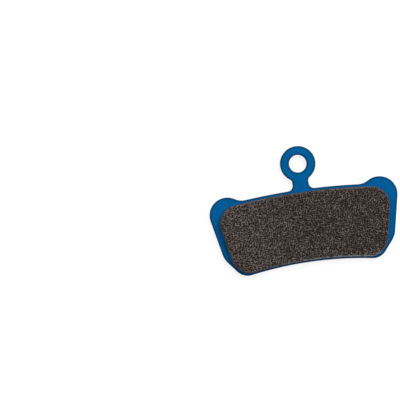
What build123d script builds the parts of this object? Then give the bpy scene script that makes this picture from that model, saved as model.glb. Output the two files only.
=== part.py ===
from build123d import *
from math import asin, cos, degrees, radians, sqrt, tan
import os

# Bicycle disc brake pad: a stamped steel backing plate with a moulded friction lining on it.
# The pad lies on its back face, and all sizes are millimetres and degrees.
# The origin is the centre of the retaining-pin hole on the back face. +X runs across the pad,
# +Y from the body to the eyelet, and +Z from the back face to the face that meets the rotor.

# Eyelet for the retaining pin
pin_diameter = 4.0
pin_clearance = 0.2  # on the diameter
eye_diameter = 8.4
neck_width = 3.8
neck_height = 2.0  # between the eyelet and the middle of the body's top edge
eye_blend_radius = 1.0
neck_blend_radius = 1.3

# Body of the plate, with drops measured from the middle of its top edge and rises from the middle
# of its bottom edge
plate_width = 45.0  # over the two ears
plate_thickness = 1.8
body_height = 17.3  # between the middles of the top and bottom edges
top_edge_radius = 147.0
bottom_edge_radius = 87.5
ear_radius = 4.25
ear_drop = 3.65
ear_blend_radius = 4.0
side_lean = 11.7  # from the Y axis
shoulder_rise = 3.4  # to where the side turns into the slanted corner
shoulder_radius = 5.0
slant_lean = 38.8  # from the Y axis
heel_radius = 3.6
front_edge_round = 0.3
rim_chamfer = 0.2  # on the back edge, the dimples and both ends of the pin hole

# Half-sheared keys: each is a blind dimple on the back and a boss of the same depth on the front
key_diameter = 4.75
key_depth = 1.0
outer_key_spacing = 28.8
outer_key_drop = 5.7
inner_key_spacing = 15.6
inner_key_rise = 4.4

# Friction lining, with margins from the plate's outline to the lining's foot
lining_thickness = 2.2
lining_draft = 5.0
lining_top_margin = 0.6
lining_side_margin = 1.6
lining_slant_margin = 0.6
lining_bottom_margin = 0.4
lining_top_corner_radius = 4.5
lining_shoulder_radius = 4.0
lining_heel_radius = 4.2
lining_edge_break = 0.15

# Places that follow from the sizes above
top_edge_y = -(eye_diameter / 2 + neck_height)
bottom_edge_y = top_edge_y - body_height
ear_x = plate_width / 2 - ear_radius
ear_y = top_edge_y - ear_drop
shoulder_y = bottom_edge_y + shoulder_rise
outer_key_y = top_edge_y - outer_key_drop
inner_key_y = bottom_edge_y + inner_key_rise
top_arc_centre = (0, top_edge_y - top_edge_radius)
bottom_arc_centre = (0, bottom_edge_y - bottom_edge_radius)
ear_centres = [(ear_x, ear_y), (-ear_x, ear_y)]
key_centres = [
    (outer_key_spacing / 2, outer_key_y),
    (-outer_key_spacing / 2, outer_key_y),
    (inner_key_spacing / 2, inner_key_y),
    (-inner_key_spacing / 2, inner_key_y),
]

# The straight side is tangent to the ear, where it starts
lean = radians(side_lean)
slant = radians(slant_lean)
side_start = Vector(ear_x, ear_y) + Vector(ear_radius, 0).rotate(Axis.Z, -side_lean)


def side_x(y, margin=0.0):
    """X of the right side's line at height y, moved in by a margin."""
    return side_start.X + (y - side_start.Y) * tan(lean) - margin / cos(lean)


def slant_x(y, margin=0.0):
    """X of the right slanted corner's line at height y, moved in by a margin."""
    return side_x(shoulder_y) + (y - shoulder_y) * tan(slant) - margin / cos(slant)


def shoulder_point(side_margin=0.0, slant_margin=0.0):
    """Where the side's line meets the slanted line, each moved in by its margin."""
    y = (side_x(0, side_margin) - slant_x(0, slant_margin)) / (tan(slant) - tan(lean))
    return side_x(y, side_margin), y


def slant_apex(margin=0.0):
    """Where the two slanted lines, run on below the body, meet on the Y axis."""
    return 0, -slant_x(0, margin) / tan(slant)


def largest_neck_blend():
    """Radius at which the neck's lower blend leaves a tenth of its straight stretch."""
    blend_centre_x = neck_width / 2 + eye_blend_radius
    blend_centre_drop = sqrt((eye_diameter / 2 + eye_blend_radius) ** 2 - blend_centre_x**2)
    return 0.9 * (-top_edge_y - blend_centre_drop)


def largest_heel(sketch):
    """Radius at which a heel leaves a tenth of the straight stretch of its slanted corner."""
    slanted_edge = sketch.edges().filter_by(GeomType.LINE).sort_by(Axis.Y)[0]
    heel_corner = sketch.vertices().sort_by(Axis.Y)[0]
    turn = 90 - slant_lean + degrees(asin(abs(heel_corner.X) / bottom_edge_radius))
    return 0.9 * slanted_edge.length / tan(radians(turn) / 2)


# Backing plate: the outline is stamped out, the keys are half sheared, and the edges are eased
with BuildPart() as backing_plate:
    with BuildSketch() as outline:
        # Straight flanks, cut to the convex top edge and the concave bottom edge
        with BuildLine():
            Polyline((0, 0), (ear_x, 0), (ear_x, ear_y), side_start, shoulder_point(), slant_apex())
            mirror(about=Plane.YZ)
        make_face()
        with Locations(top_arc_centre):
            Circle(top_edge_radius, mode=Mode.INTERSECT)
        with Locations(bottom_arc_centre):
            Circle(bottom_edge_radius, mode=Mode.SUBTRACT)
        fillet(outline.vertices().group_by(Axis.Y)[1], shoulder_radius)
        fillet(outline.vertices().group_by(Axis.Y)[0], min(heel_radius, largest_heel(outline)))
        # Ears, run into the top edge by a hollow
        with Locations(*ear_centres):
            Circle(ear_radius)
        fillet(outline.vertices().group_by(Axis.Y)[-1], ear_blend_radius)
        # Eyelet on its neck
        with Locations((0, ear_y / 2)):
            Rectangle(neck_width, -ear_y)
        Circle(eye_diameter / 2)
        neck_corners = outline.vertices().filter_by_position(Axis.X, -neck_width, neck_width)
        fillet(neck_corners.group_by(Axis.Y)[-1], eye_blend_radius)
        neck_corners = outline.vertices().filter_by_position(Axis.X, -neck_width, neck_width)
        fillet(neck_corners.group_by(Axis.Y)[0], min(neck_blend_radius, largest_neck_blend()))
        # Hole for the retaining pin
        Circle((pin_diameter + pin_clearance) / 2, mode=Mode.SUBTRACT)
    extrude(amount=plate_thickness)
    # Dimples in the back face
    with BuildSketch():
        with Locations(*key_centres):
            Circle(key_diameter / 2)
    extrude(amount=key_depth, mode=Mode.SUBTRACT)
    # Rolled front edge, then the eased back edge and rims
    front_face = backing_plate.faces().sort_by(Axis.Z)[-1]
    fillet(front_face.outer_wire().edges(), front_edge_round)
    front_face = backing_plate.faces().sort_by(Axis.Z)[-1]
    back_face = backing_plate.faces().sort_by(Axis.Z)[0]
    chamfer(front_face.inner_wires()[0].edges() + back_face.edges(), rim_chamfer)
    # Bosses on the front face
    with BuildSketch(Plane.XY.offset(plate_thickness)):
        with Locations(*key_centres):
            Circle(key_diameter / 2)
    extrude(amount=key_depth)
backing_plate.part.label = "backing_plate"

# Friction lining: a drafted block whose foot is moulded around the bosses of the plate
with BuildPart() as friction_lining:
    with BuildSketch(Plane.XY.offset(plate_thickness)) as foot:
        with BuildLine():
            Polyline(
                (0, 0),
                (side_x(0, lining_side_margin), 0),
                shoulder_point(lining_side_margin, lining_slant_margin),
                slant_apex(lining_slant_margin),
            )
            mirror(about=Plane.YZ)
        make_face()
        with Locations(top_arc_centre):
            Circle(top_edge_radius - lining_top_margin, mode=Mode.INTERSECT)
        with Locations(bottom_arc_centre):
            Circle(bottom_edge_radius + lining_bottom_margin, mode=Mode.SUBTRACT)
        fillet(foot.vertices().group_by(Axis.Y)[-1], lining_top_corner_radius)
        fillet(foot.vertices().group_by(Axis.Y)[1], lining_shoulder_radius)
        fillet(foot.vertices().group_by(Axis.Y)[0], min(lining_heel_radius, largest_heel(foot)))
    extrude(amount=lining_thickness)
    walls = friction_lining.faces().sort_by(Axis.Z)[1:-1]
    draft(walls, Plane.XY.offset(plate_thickness), lining_draft)
    chamfer(friction_lining.faces().sort_by(Axis.Z)[-1].edges(), lining_edge_break)
    add(backing_plate.part, mode=Mode.SUBTRACT)
friction_lining.part.label = "friction_lining"

os.makedirs("parts", exist_ok=True)
export_step(backing_plate.part, "parts/backing_plate.step")
export_step(friction_lining.part, "parts/friction_lining.step")
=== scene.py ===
import itertools
import math

import bmesh
import bpy
import numpy as np
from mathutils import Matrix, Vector


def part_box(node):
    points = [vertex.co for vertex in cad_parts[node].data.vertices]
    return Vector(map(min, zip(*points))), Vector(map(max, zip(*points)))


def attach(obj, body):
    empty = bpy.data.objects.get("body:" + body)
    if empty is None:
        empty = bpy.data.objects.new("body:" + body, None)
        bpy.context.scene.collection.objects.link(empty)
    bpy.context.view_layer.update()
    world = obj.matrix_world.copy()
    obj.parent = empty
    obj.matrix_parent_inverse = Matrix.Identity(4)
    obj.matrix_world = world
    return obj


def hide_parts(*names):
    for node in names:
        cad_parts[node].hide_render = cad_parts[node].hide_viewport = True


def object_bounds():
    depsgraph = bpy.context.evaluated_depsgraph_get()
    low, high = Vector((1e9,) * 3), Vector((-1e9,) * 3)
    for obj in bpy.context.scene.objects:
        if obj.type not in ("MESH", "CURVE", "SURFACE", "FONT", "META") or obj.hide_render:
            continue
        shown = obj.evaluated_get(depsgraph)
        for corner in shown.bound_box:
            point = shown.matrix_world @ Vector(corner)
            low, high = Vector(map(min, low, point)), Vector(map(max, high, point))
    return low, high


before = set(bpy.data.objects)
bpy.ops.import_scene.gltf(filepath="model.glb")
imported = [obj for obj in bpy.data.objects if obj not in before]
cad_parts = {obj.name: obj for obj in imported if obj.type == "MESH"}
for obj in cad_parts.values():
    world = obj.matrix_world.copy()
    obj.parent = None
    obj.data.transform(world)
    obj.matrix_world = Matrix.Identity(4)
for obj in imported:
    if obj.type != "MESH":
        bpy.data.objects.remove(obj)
cad_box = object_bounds()

MM = 0.001

# The photograph's frame, and where the pad lies in it
IMAGE_PX = 400
PX_PER_MM = 4.2124
PIN_HOLE_PX = (297.84, 163.66)
PAD_TURN = math.radians(8.0)  # anticlockwise in the picture
CAMERA_HEIGHT = 475 * MM  # above the front of the plate
SENSOR_WIDTH = 36.0

# Mesh of the friction lining
CELLS_ALONG = 365
CELLS_ACROSS = 165
WALL_ROWS = 13
EDGE_ROWS = 4
RING_COUNT = WALL_ROWS + EDGE_ROWS + 1
EDGE_RADIUS = 0.32 * MM
SOCKET_SIDES = 64
LEVEL_TOLERANCE = 0.002 * MM

# Relief of the friction lining: grains all over it, and crumbs broken out of its edge
GRAIN_SIZE = 0.30 * MM
FINE_GRAIN_SIZE = 0.19 * MM
GRAIN_DEPTH = 0.09 * MM
GRAIN_GAP = 0.35  # between two grains, as a share of their size
RELIEF_SHARES = (0.45, 0.30, 0.25)  # of the grains' own depths, their gaps and the fine grains
CRUMB_SIZE = 0.8 * MM
CRUMB_DEPTH = 0.24 * MM
CRUMB_ROWS = 5  # on both sides of the edge
CRUMB_START = 0.52  # of a noise from 0 to 1, above which the edge is broken out
GRAIN_SALT, FINE_GRAIN_SALT, CRUMB_SALT, PATCH_SALT = 11, 23, 37, 53

# Texture of the friction compound, and how each layer of it shifts the shade, from 0 to 1
MINERAL_SIZE = 0.18 * MM
MINERAL_SHADE = (0.01, 0.67)
DUST_SIZE = 0.12 * MM
DUST_SHADE = (-0.24, 0.24)
HEIGHT_SWING = (0.2, 0.8)  # the part of the relief's height that counts
# partly the grains' own tones, partly painted shade: deeper points of the relief, in pits and gaps
# between grains, are darker
HEIGHT_SHADE = (0.05, 0.21)
SPOT_SIZE = 0.46 * MM
SPOT_SCATTER = 0.75  # 0 on a square grid, 1 quite at random
SPOT_EDGE = (0.15, 0.42)  # in shares of the size, from the spot's dark middle out
SPOT_SHADE = (-0.80, 0.09)
MOTTLE_SIZE = 1.4 * MM
MOTTLE_SHADE = (-0.05, 0.06)
BRIGHT_ALONG = (-10 * MM, -1 * MM)  # where the face goes from its brighter end to its usual shade
BRIGHT_SHADE = (0.065, -0.013)
HUE_SIZE = 3.5 * MM
PORE_SIZE = 0.16 * MM
PORE_DEPTH = 0.03 * MM
NOISE_SWING = (0.3, 0.7)  # the part of a noise from 0 to 1 that is used

# Wall of the friction lining, and how full the pale skin on it is, together with a painted glint along
# its lower and upper edges
WALL_FADE_ROWS = 3  # from the look of the face to that of the wall
PALE_SIDE = 0.11
# upper and lower walls: the pale skin plus a painted glint along the edge
SKIN_AND_GLINT_UPPER = 0.14
SKIN_AND_GLINT_THIN = 0.18  # pale skin and painted glint at one end of the lower wall, and full at the other
SKIN_AND_GLINT_FULL = 0.8
SKIN_AND_GLINT_ALONG = (-10 * MM, 4 * MM)  # where the lower wall's skin and painted glint grow from thin to full
PALE_SLOPE = (0.6, 0.97)  # how squarely a wall faces along Y, from a side wall to an upper or lower one
PATCH_SIZE = 0.5 * MM
PATCH_FULLNESS = (0.25, 1.6)  # of the pale skin's and painted glint's thinnest and fullest patches

# Texture of the plate's paint
CLOUD_SIZE = 2.5 * MM
PEEL_SIZE = 0.32 * MM
PEEL_DEPTH = 0.012 * MM
PAINTED_SHADE_REACH = 1.2 * MM  # how far in from an edge the painted shade reaches

# Stage
FLOOR_DROP = 0.05 * MM
FLOOR_REACH = 3.0
FLOOR_GREY = 0.22  # in the lamps' light, so that it keeps a soft shadow
FLOOR_GLOW = 0.84  # where it is seen, which makes it white
WORLD_LIGHT = 0.32  # strength on the pad, against 1 where the background is seen


def add_object(name, data):
    """A new object in the scene."""
    added = bpy.data.objects.new(name, data)
    bpy.context.scene.collection.objects.link(added)
    return added


# Repeatable noise on arrays of points

def hashed(cells, salt):
    """A number from 0 to 1 for each row of whole-number cell coordinates."""
    mixed = np.full(len(cells), salt, np.uint32)
    for axis, prime in enumerate((73856093, 19349663, 83492791)):
        mixed ^= (cells[:, axis].astype(np.int64) * prime & 0xFFFFFFFF).astype(np.uint32)
        mixed *= np.uint32(2654435761)
        mixed ^= mixed >> np.uint32(15)
    return mixed / 2.0**32


def rolling(points, size, salt):
    """Smooth noise from 0 to 1 whose swells are about one size across."""
    scaled = points / size
    base = np.floor(scaled).astype(np.int64)
    part = scaled - base
    part = part * part * (3 - 2 * part)
    total = np.zeros(len(points))
    for corner in itertools.product((0, 1), repeat=3):
        weight = np.prod(np.where(corner, part, 1 - part), axis=1)
        total += weight * hashed(base + corner, salt)
    return total


def granular(points, size, salt):
    """Packed grains: each point's own grain shade, and how near it is to the gap between two grains."""
    scaled = points / size
    base = np.floor(scaled).astype(np.int64)
    first = np.full(len(points), np.inf)
    second = np.full(len(points), np.inf)
    shade = np.zeros(len(points))
    for step in itertools.product((-1, 0, 1), repeat=3):
        cell = base + step
        jitter = np.stack([hashed(cell, salt + axis) for axis in range(3)], axis=1)
        distance = np.linalg.norm(scaled - cell - jitter, axis=1)
        nearer = distance < first
        second = np.where(nearer, first, np.minimum(second, distance))
        first = np.where(nearer, distance, first)
        shade = np.where(nearer, hashed(cell, salt + 3), shade)
    return shade, 1 - np.clip((second - first) / GRAIN_GAP, 0, 1)


# Outlines read from the solids

def node_points(name):
    """All corner points of a solid."""
    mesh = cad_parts[name].data
    points = np.zeros(len(mesh.vertices) * 3, np.float32)
    mesh.vertices.foreach_get("co", points)
    return points.reshape(-1, 3).astype(float)


def level_points(points, height):
    """The points at one height, seen from above."""
    return points[np.abs(points[:, 2] - height) < LEVEL_TOLERANCE][:, :2]


def loop_at(points, height):
    """The outline through the points at one height, anticlockwise."""
    level = np.unique(np.round(level_points(points, height), 7), axis=0)
    middle = (level.min(axis=0) + level.max(axis=0)) / 2
    angles = np.arctan2(level[:, 1] - middle[1], level[:, 0] - middle[0])
    return level[np.argsort(angles)]


def boss_circles():
    """Centre and radius of each boss of the plate, and the height of their tops."""
    points = node_points("backing_plate")
    roof = points[:, 2].max()
    tops = level_points(points, roof)
    halfway = tops[:, 1].mean()
    circles = []
    for right, upper in itertools.product((False, True), repeat=2):
        circle = tops[((tops[:, 0] > 0) == right) & ((tops[:, 1] > halfway) == upper)]
        centre = (circle.min(axis=0) + circle.max(axis=0)) / 2
        circles.append((centre, np.linalg.norm(circle - centre, axis=1).max()))
    return circles, roof


# Grid of points over a four-sided outline

def stretch(loop, start, end, cells):
    """Evenly spaced points along a loop from one of its corners to another, the last left out."""
    count = (end - start) % len(loop)
    run = loop[(start + np.arange(count + 1)) % len(loop)]
    lengths = np.concatenate([[0], np.cumsum(np.linalg.norm(np.diff(run, axis=0), axis=1))])
    places = np.linspace(0, lengths[-1], cells + 1)[:-1]
    return np.stack([np.interp(places, lengths, run[:, axis]) for axis in range(2)], axis=1)


def four_sided_ring(loop):
    """The loop as a ring of points, with its rounded corners at the corners of the grid."""
    middle = (loop.min(axis=0) + loop.max(axis=0)) / 2
    half = (loop.max(axis=0) - loop.min(axis=0)) / 2
    square = (loop - middle) / half
    corners = [int(np.argmax(square @ np.array(way))) for way in ((-1, -1), (1, -1), (1, 1), (-1, 1))]
    cells = (CELLS_ALONG, CELLS_ACROSS, CELLS_ALONG, CELLS_ACROSS)
    ends = corners[1:] + corners[:1]
    return np.concatenate([stretch(loop, *side) for side in zip(corners, ends, cells)])


def four_sides(ring):
    """The bottom, right, top and left sides of a ring, anticlockwise, each with both its corners."""
    closed = np.concatenate([ring, ring[:1]])
    corners = np.cumsum((0, CELLS_ALONG, CELLS_ACROSS, CELLS_ALONG, CELLS_ACROSS))
    return [closed[start : end + 1] for start, end in zip(corners[:-1], corners[1:])]


def fill_patch(ring):
    """Grid of points spanned by the four sides of a ring, indexed along and across."""
    bottom, right, top, left = four_sides(ring)
    top, left = top[::-1], left[::-1]
    u = np.linspace(0, 1, CELLS_ALONG + 1)[:, None, None]
    v = np.linspace(0, 1, CELLS_ACROSS + 1)[None, :, None]
    lofted = (1 - v) * bottom[:, None] + v * top[:, None]
    crossed = (1 - u) * left[None] + u * right[None]
    corners = (1 - u) * ((1 - v) * bottom[0] + v * top[0]) + u * ((1 - v) * bottom[-1] + v * top[-1])
    return lofted + crossed - corners


def outward(ring):
    """Unit vectors that point out of a ring, one at each point."""
    along = np.roll(ring, -1, axis=0) - np.roll(ring, 1, axis=0)
    along /= np.linalg.norm(along, axis=1)[:, None]
    return np.stack([along[:, 1], -along[:, 0]], axis=1)


# Friction lining: a granular block with crumbled edges, moulded around the plate's bosses

def wall_outline():
    """Ring round the top of the lining's wall, how far its foot stands out, and its two end levels."""
    points = node_points("friction_lining")
    foot, face = points[:, 2].min(), points[:, 2].max()
    levels = np.unique(np.round(points[:, 2], 6))
    wall_top = levels[-2]  # the highest level under the face, where the edge break starts
    loop = loop_at(points, wall_top)
    lean = (np.ptp(points[:, 0]) - np.ptp(loop[:, 0])) / 2
    return four_sided_ring(loop), lean, foot, face


def lining_rows(ring, lean, foot, face):
    """Rings of points from the foot to the rim of the face, each with its outward direction."""
    sideways = outward(ring)
    flat = np.zeros((len(ring), 1))
    shoulder = face - EDGE_RADIUS
    rows = []
    for row in range(WALL_ROWS + 1):
        share = row / WALL_ROWS
        place = ring + sideways * lean * (1 - share)
        height = foot + (shoulder - foot) * share
        rows.append((np.hstack([place, flat + height]), np.hstack([sideways, flat])))
    for row in range(1, EDGE_ROWS + 1):
        angle = math.pi / 2 * row / EDGE_ROWS
        place = ring - sideways * EDGE_RADIUS * (1 - math.cos(angle))
        height = shoulder + EDGE_RADIUS * math.sin(angle)
        aim = np.hstack([sideways * math.cos(angle), flat + math.sin(angle)])
        rows.append((np.hstack([place, flat + height]), aim))
    return rows


def face_grid(rim, first):
    """Indices of the face's grid of points, whose border is the rim's, and the points inside it."""
    patch = fill_patch(rim)
    indices = np.full(patch.shape[:2], -1)
    bottom, right, top, left = four_sides(first + np.arange(len(rim)))
    indices[:, 0], indices[-1], indices[:, -1], indices[0] = bottom, right, top[::-1], left[::-1]
    inside = indices < 0
    indices[inside] = first + len(rim) + np.arange(inside.sum())
    return indices, patch[inside]


def on_rows(row_weights, ring_weights, total):
    """Weights of all points: on the wall by row and by place round it, and none inside the face."""
    weights = np.zeros(total)
    wall = np.outer(row_weights, ring_weights).ravel()
    weights[: len(wall)] = wall
    return weights


def pale_skin_and_glint(ring):
    """How full the pale skin is at each place round the wall, with a painted glint that makes it fullest
    on the lower edge.
    """
    aim = outward(ring)[:, 1]
    facing = np.clip((np.abs(aim) - PALE_SLOPE[0]) / (PALE_SLOPE[1] - PALE_SLOPE[0]), 0, 1)
    lower = np.interp(ring[:, 0], SKIN_AND_GLINT_ALONG, (SKIN_AND_GLINT_THIN, SKIN_AND_GLINT_FULL))
    edge = np.where(aim < 0, lower, SKIN_AND_GLINT_UPPER)
    return PALE_SIDE + facing * (edge - PALE_SIDE)


def wall_layers(ring, places):
    """How much of the wall's own look and of its pale skin and painted glint each point has. Both fade
    out to the face.
    """
    row = np.arange(RING_COUNT)
    below_edge = np.clip((WALL_ROWS - row) / WALL_FADE_ROWS, 0, 1)
    below_rim = np.clip((RING_COUNT - 1 - row) / EDGE_ROWS, 0, 1)
    patches = np.interp(rolling(places, PATCH_SIZE, PATCH_SALT), NOISE_SWING, PATCH_FULLNESS)
    return {
        "wall": on_rows(below_edge, np.ones(len(ring)), len(places)),
        "pale": patches * on_rows(below_rim, pale_skin_and_glint(ring), len(places)),
    }


def crumbling(ring, total):
    """How far crumbs break out at each point: most in the middle of the rounded edge."""
    from_edge = np.abs(np.arange(RING_COUNT) - WALL_ROWS - EDGE_ROWS / 2)
    return on_rows(np.clip(1 - from_edge / CRUMB_ROWS, 0, 1), np.ones(len(ring)), total)


def weather(points, aims, broken):
    """Points moved in along their aims by grains and crumbs, with how proud each one stands."""
    shade, gap = granular(points, GRAIN_SIZE, GRAIN_SALT)
    fine_shade, _ = granular(points, FINE_GRAIN_SIZE, FINE_GRAIN_SALT)
    coarse_share, gap_share, fine_share = RELIEF_SHARES
    height = 1 - (coarse_share * (1 - shade) + gap_share * gap + fine_share * (1 - fine_shade))
    crumb = np.clip((rolling(points, CRUMB_SIZE, CRUMB_SALT) - CRUMB_START) / (1 - CRUMB_START), 0, 1)
    depth = GRAIN_DEPTH * (1 - height) + CRUMB_DEPTH * crumb * broken
    return points - aims * depth[:, None], height


def quads(indices):
    """Faces between neighbouring points of a grid of indices."""
    corners = (indices[:-1, :-1], indices[1:, :-1], indices[1:, 1:], indices[:-1, 1:])
    return np.stack(corners, axis=-1).reshape(-1, 4)


def make_lining():
    """The lining as one closed mesh, with the layers that its material reads."""
    ring, lean, foot, face = wall_outline()
    count = len(ring)
    rows = lining_rows(ring, lean, foot, face)
    grid, inner = face_grid(rows[-1][0], (RING_COUNT - 1) * count)
    places = np.vstack([place for place, _ in rows] + [inner])
    aims = np.vstack([aim for _, aim in rows] + [np.tile((0.0, 0.0, 1.0), (len(inner), 1))])
    moved, height = weather(places, aims, crumbling(ring, len(places)))
    moved[:count] = places[:count]

    wall = np.arange(RING_COUNT * count).reshape(RING_COUNT, count)
    wall = np.hstack([wall, wall[:, :1]])
    faces = np.vstack([quads(wall.T), quads(grid)])
    mesh = bpy.data.meshes.new("lining_compound")
    mesh.from_pydata(moved.tolist(), [], faces.tolist())
    mesh.polygons.foreach_set("use_smooth", np.ones(len(faces), bool))
    for name, values in {"height": height, **wall_layers(ring, places)}.items():
        layer = mesh.attributes.new(name, "FLOAT", "POINT")
        layer.data.foreach_set("value", values.astype(np.float32))
    close_underside(mesh, count)
    return add_object("lining_compound", mesh)


def close_underside(mesh, count):
    """Flat underside inside the first ring of points, with a round socket for each boss of the plate."""
    circles, roof = boss_circles()
    work = bmesh.new()
    work.from_mesh(mesh)
    work.verts.ensure_lookup_table()
    foot = work.verts[0].co.z
    borders = ring_edges(work, work.verts[:count])
    for centre, radius in circles:
        borders += make_socket(work, centre, radius, foot, roof)
    bmesh.ops.triangle_fill(work, edges=borders, use_beauty=True)
    bmesh.ops.recalc_face_normals(work, faces=work.faces)
    work.to_mesh(mesh)
    work.free()


def ring_edges(work, ring):
    """Edges between neighbouring points of a closed ring."""
    return [work.edges.get((point, after)) for point, after in zip(ring, ring[1:] + ring[:1])]


def make_socket(work, centre, radius, foot, roof):
    """Round socket up to the roof. Its rim's edges are returned."""
    spots = []
    for side in range(SOCKET_SIDES):
        angle = 2 * math.pi * side / SOCKET_SIDES
        spots.append((centre[0] + radius * math.cos(angle), centre[1] + radius * math.sin(angle)))
    low = [work.verts.new((*spot, foot)) for spot in spots]
    high = [work.verts.new((*spot, roof)) for spot in spots]
    for side in range(SOCKET_SIDES):
        work.faces.new((low[side], low[side - 1], high[side - 1], high[side]))
    work.faces.new(high[::-1])
    return ring_edges(work, low)


# Materials

class Nodes:
    """A new material with one shader, and short ways to add nodes to it."""

    def __init__(self, name):
        self.material = bpy.data.materials.new(name)
        self.material.use_nodes = True
        self.tree = self.material.node_tree
        self.shader = self.tree.nodes["Principled BSDF"]
        self.place = self.add("ShaderNodeTexCoord").outputs["Object"]

    def add(self, kind, **settings):
        """A new node with these settings."""
        node = self.tree.nodes.new(kind)
        for key, value in settings.items():
            setattr(node, key, value)
        return node

    def join(self, source, target):
        """A link from an output to an input."""
        self.tree.links.new(source, target)

    def noise(self, size, detail=2.0, roughness=0.5):
        """Noise from 0 to 1 with swells of this size."""
        node = self.add("ShaderNodeTexNoise")
        node.inputs["Scale"].default_value = 1 / size
        node.inputs["Detail"].default_value = detail
        node.inputs["Roughness"].default_value = roughness
        self.join(self.place, node.inputs["Vector"])
        return node.outputs["Fac"]

    def grains(self, size):
        """Cells of this size, each with its own value from 0 to 1."""
        node = self.add("ShaderNodeTexVoronoi")
        node.inputs["Scale"].default_value = 1 / size
        self.join(self.place, node.inputs["Vector"])
        split = self.add("ShaderNodeSeparateColor")
        self.join(node.outputs["Color"], split.inputs[0])
        return split.outputs[0]

    def spots(self, size):
        """Distance to the nearest of many spots strewn over the XY plane, in shares of this size."""
        node = self.add("ShaderNodeTexVoronoi", voronoi_dimensions="2D")
        node.inputs["Scale"].default_value = 1 / size
        node.inputs["Randomness"].default_value = SPOT_SCATTER
        self.join(self.place, node.inputs["Vector"])
        return node.outputs["Distance"]

    def part(self, vector, axis):
        """One part of a vector, X, Y or Z."""
        node = self.add("ShaderNodeSeparateXYZ")
        self.join(vector, node.inputs[0])
        return node.outputs[axis]

    def flatness(self, reach):
        """1 on level faces, falling off within reach of their edges to 0 on upright walls."""
        bevel = self.add("ShaderNodeBevel", samples=8)
        bevel.inputs["Radius"].default_value = reach
        size = self.add("ShaderNodeMath", operation="ABSOLUTE")
        self.join(self.part(bevel.outputs["Normal"], "Z"), size.inputs[0])
        return size.outputs[0]

    def attribute(self, name):
        """One layer of the mesh, by its name."""
        return self.add("ShaderNodeAttribute", attribute_name=name).outputs["Fac"]

    def mapped(self, value, span, to_span):
        """The value moved from one span of numbers to another, and held within it."""
        node = self.add("ShaderNodeMapRange")
        for index, number in enumerate((*span, *to_span)):
            node.inputs[index + 1].default_value = number
        self.join(value, node.inputs[0])
        return node.outputs[0]

    def sum(self, *values):
        """All the values added up."""
        total = values[0]
        for value in values[1:]:
            node = self.add("ShaderNodeMath", operation="ADD")
            self.join(total, node.inputs[0])
            self.join(value, node.inputs[1])
            total = node.outputs[0]
        return total

    def ramp(self, value, stops):
        """Colours between stops, each a place from 0 to 1 and its colour."""
        node = self.add("ShaderNodeValToRGB")
        elements = node.color_ramp.elements
        while len(elements) < len(stops):
            elements.new(0.5)
        for element, (place, colour) in zip(elements, stops):
            element.position = place
            element.color = (*colour, 1.0)
        self.join(value, node.inputs["Fac"])
        return node.outputs["Color"]

    def blend(self, factor, first, second):
        """The first colour where the factor is 0, and the second where it is 1."""
        node = self.add("ShaderNodeMix", data_type="RGBA")
        self.join(factor, node.inputs["Factor"])
        self.join(first, node.inputs["A"])
        self.join(second, node.inputs["B"])
        return node.outputs["Result"]

    def multiply(self, first, second):
        """The two colours multiplied."""
        node = self.add("ShaderNodeMix", data_type="RGBA", blend_type="MULTIPLY")
        node.inputs["Factor"].default_value = 1.0
        self.join(first, node.inputs["A"])
        self.join(second, node.inputs["B"])
        return node.outputs["Result"]

    def bump(self, height, distance):
        """Relief of this depth on the shader's surface."""
        node = self.add("ShaderNodeBump")
        node.inputs["Distance"].default_value = distance
        self.join(height, node.inputs["Height"])
        self.join(node.outputs["Normal"], self.shader.inputs["Normal"])


def plate_paint():
    """Satin blue paint with a fine orange peel, and painted shade on its rounded edges."""
    nodes = Nodes("plate_paint")
    cloud = nodes.noise(CLOUD_SIZE, detail=3.0)
    blue = nodes.ramp(cloud, [
        (NOISE_SWING[0], (0.0010, 0.106, 0.308)),
        (NOISE_SWING[1], (0.0016, 0.120, 0.344)),
    ])
    # painted shade: the plate's rounded edges are darker than its faces and walls
    rim = nodes.ramp(nodes.flatness(PAINTED_SHADE_REACH), [
        (0.2, (0.90, 0.90, 0.90)),
        (0.5, (0.30, 0.36, 0.36)),
        (0.86, (0.30, 0.36, 0.36)),
        (0.997, (1.0, 1.0, 1.0)),
    ])
    nodes.join(nodes.multiply(blue, rim), nodes.shader.inputs["Base Color"])
    peel = nodes.noise(PEEL_SIZE)
    nodes.join(nodes.mapped(peel, NOISE_SWING, (0.42, 0.54)), nodes.shader.inputs["Roughness"])
    nodes.bump(peel, PEEL_DEPTH)
    nodes.shader.inputs["Specular IOR Level"].default_value = 0.12
    nodes.shader.inputs["Specular Tint"].default_value = (0.02, 0.4, 1.0, 1.0)
    return nodes.material


def face_colour(nodes, grit_and_pit_shade):
    """Brown binder between the grains, with dark spots, soft mottling and one brighter end."""
    speckle = nodes.sum(
        grit_and_pit_shade,
        nodes.mapped(nodes.spots(SPOT_SIZE), SPOT_EDGE, SPOT_SHADE),
        nodes.mapped(nodes.noise(MOTTLE_SIZE, detail=1.0), NOISE_SWING, MOTTLE_SHADE),
        nodes.mapped(nodes.part(nodes.place, "X"), BRIGHT_ALONG, BRIGHT_SHADE),
    )
    return nodes.ramp(speckle, [
        (0.0, (0.002, 0.0007, 0.0003)),
        (0.3, (0.020, 0.0112, 0.0082)),
        (0.55, (0.062, 0.0445, 0.0375)),
        (0.8, (0.134, 0.108, 0.097)),
        (1.0, (0.250, 0.216, 0.198)),
    ])


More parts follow.
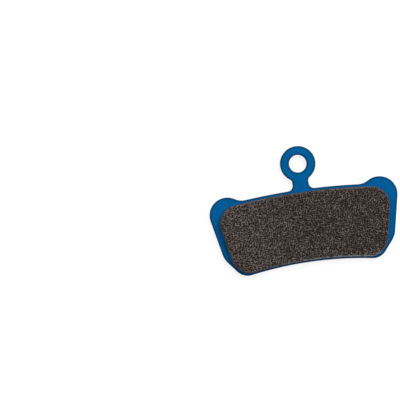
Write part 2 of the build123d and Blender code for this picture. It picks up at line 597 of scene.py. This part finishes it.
def friction_compound():
    """Dark brown binder packed with pale and dark mineral grains, with a patchy pale skin and a painted
    glint on its wall.
    """
    nodes = Nodes("friction_compound")
    grit_and_pit_shade = nodes.sum(
        nodes.mapped(nodes.grains(MINERAL_SIZE), (0, 1), MINERAL_SHADE),
        nodes.mapped(nodes.grains(DUST_SIZE), (0, 1), DUST_SHADE),
        # partly the grains' own tones, partly painted shade darkening the pits and gaps between grains
        nodes.mapped(nodes.attribute("height"), HEIGHT_SWING, HEIGHT_SHADE),
    )
    face = face_colour(nodes, grit_and_pit_shade)
    wall = nodes.ramp(grit_and_pit_shade, [
        (0.0, (0.010, 0.007, 0.006)),
        (0.5, (0.045, 0.036, 0.032)),
        (1.0, (0.180, 0.160, 0.150)),
    ])
    pale = nodes.ramp(grit_and_pit_shade, [
        (0.0, (0.224, 0.235, 0.246)),
        (0.5, (0.462, 0.483, 0.504)),
        (1.0, (0.840, 0.861, 0.882)),
    ])
    hue = nodes.ramp(nodes.noise(HUE_SIZE, detail=0.0), [
        (NOISE_SWING[0], (1.01, 1.0, 0.965)),
        (NOISE_SWING[1], (1.0, 0.985, 1.02)),
    ])
    colour = nodes.multiply(nodes.blend(nodes.attribute("wall"), face, wall), hue)
    # the pale layer: pale skin all round the wall, plus a painted glint that lightens the lower and upper
    # walls
    colour = nodes.blend(nodes.attribute("pale"), colour, pale)
    nodes.join(colour, nodes.shader.inputs["Base Color"])
    nodes.shader.inputs["Roughness"].default_value = 0.9
    nodes.shader.inputs["Specular IOR Level"].default_value = 0.15
    nodes.bump(nodes.noise(PORE_SIZE, detail=3.0, roughness=0.6), PORE_DEPTH)
    return nodes.material


def floor_white():
    """White floor: the camera sees it lit and white, and it keeps the pad's shadow."""
    nodes = Nodes("floor_white")
    nodes.shader.inputs["Base Color"].default_value = (FLOOR_GREY, FLOOR_GREY, FLOOR_GREY, 1.0)
    nodes.shader.inputs["Roughness"].default_value = 1.0
    nodes.shader.inputs["Specular IOR Level"].default_value = 0.0
    nodes.shader.inputs["Emission Color"].default_value = (1.0, 1.0, 1.0, 1.0)
    glow = nodes.mapped(seen_ray(nodes.tree), (0, 1), (0, FLOOR_GLOW))
    nodes.join(glow, nodes.shader.inputs["Emission Strength"])
    return nodes.material


def seen_ray(tree):
    """1 for the rays by which the background is seen, straight or in a reflection."""
    path = tree.nodes.new("ShaderNodeLightPath")
    total = path.outputs["Is Camera Ray"]
    for name in ("Is Glossy Ray", "Is Transmission Ray"):
        node = tree.nodes.new("ShaderNodeMath")
        node.operation = "MAXIMUM"
        tree.links.new(total, node.inputs[0])
        tree.links.new(path.outputs[name], node.inputs[1])
        total = node.outputs[0]
    return total


# Stage, light and camera

def in_picture(right, up):
    """A direction across the picture, in the pad's own frame."""
    picture_right = Vector((math.cos(PAD_TURN), -math.sin(PAD_TURN), 0))
    picture_up = Vector((math.sin(PAD_TURN), math.cos(PAD_TURN), 0))
    return picture_right * right + picture_up * up


def make_floor():
    """Wide floor just under the pad."""
    signs = [(-1, -1), (1, -1), (1, 1), (-1, 1)]
    corners = [(x * FLOOR_REACH, y * FLOOR_REACH, -FLOOR_DROP) for x, y in signs]
    mesh = bpy.data.meshes.new("floor")
    mesh.from_pydata(corners, [], [(0, 1, 2, 3)])
    mesh.materials.append(floor_white())
    floor = add_object("floor", mesh)


def make_world():
    """Even white light from all round, and a white background where it is seen."""
    world = bpy.data.worlds.new("studio")
    world.use_nodes = True
    tree = world.node_tree
    background = tree.nodes["Background"]
    background.inputs["Color"].default_value = (1.0, 1.0, 1.0, 1.0)
    strength = tree.nodes.new("ShaderNodeMapRange")
    strength.inputs["To Min"].default_value = WORLD_LIGHT
    strength.inputs["To Max"].default_value = 1.0
    tree.links.new(seen_ray(tree), strength.inputs["Value"])
    tree.links.new(strength.outputs[0], background.inputs["Strength"])
    bpy.context.scene.world = world


def make_lamp(name, toward, elevation, distance, size, watts):
    """A square soft lamp that shines on the middle of the pad, from a direction across the picture."""
    aim = (cad_box[0] + cad_box[1]) / 2
    level = in_picture(*toward).normalized() * math.cos(math.radians(elevation))
    away = level + Vector((0, 0, math.sin(math.radians(elevation))))
    data = bpy.data.lights.new(name, "AREA")
    data.size = size
    data.energy = watts
    lamp = add_object(name, data)
    lamp.location = aim + away * distance
    lamp.rotation_euler = away.to_track_quat("Z", "Y").to_euler()


def make_camera():
    """Camera straight above the middle of the picture, with the pad where the photograph has it."""
    plate_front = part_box("friction_lining")[0].z
    picture_middle = IMAGE_PX / 2
    across = (picture_middle - PIN_HOLE_PX[0]) / PX_PER_MM * MM
    along = (PIN_HOLE_PX[1] - picture_middle) / PX_PER_MM * MM
    data = bpy.data.cameras.new("camera")
    data.sensor_width = SENSOR_WIDTH
    data.lens = SENSOR_WIDTH * CAMERA_HEIGHT / (IMAGE_PX / PX_PER_MM * MM)
    data.clip_start = 10 * MM
    camera = add_object("camera", data)
    camera.location = in_picture(across, along) + Vector((0, 0, plate_front + CAMERA_HEIGHT))
    camera.rotation_euler = (0, 0, -PAD_TURN)
    bpy.context.scene.camera = camera


# The pad's two pieces

def dress_plate():
    """The plate stays its own solid, painted."""
    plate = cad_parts["backing_plate"]
    paint = plate_paint()
    for slot in plate.material_slots:
        slot.material = paint


def dress_lining():
    """The granular lining stands in for its plain solid."""
    lining = make_lining()
    lining.data.materials.append(friction_compound())
    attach(lining, "root")
    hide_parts("friction_lining")


bpy.context.scene.view_settings.view_transform = "Standard"
make_camera()
make_floor()
make_world()
make_lamp("key_lamp", toward=(1.0, 1.0), elevation=60, distance=0.6, size=0.32, watts=2.10)
make_lamp("fill_lamp", toward=(-1.0, 0.4), elevation=50, distance=0.9, size=0.7, watts=1.0)
make_lamp("top_lamp", toward=(-0.1, 1.0), elevation=28, distance=0.6, size=0.3, watts=0.45)
make_lamp("low_lamp", toward=(0.5, -1.0), elevation=12, distance=0.6, size=0.3, watts=0.12)
dress_plate()
dress_lining()
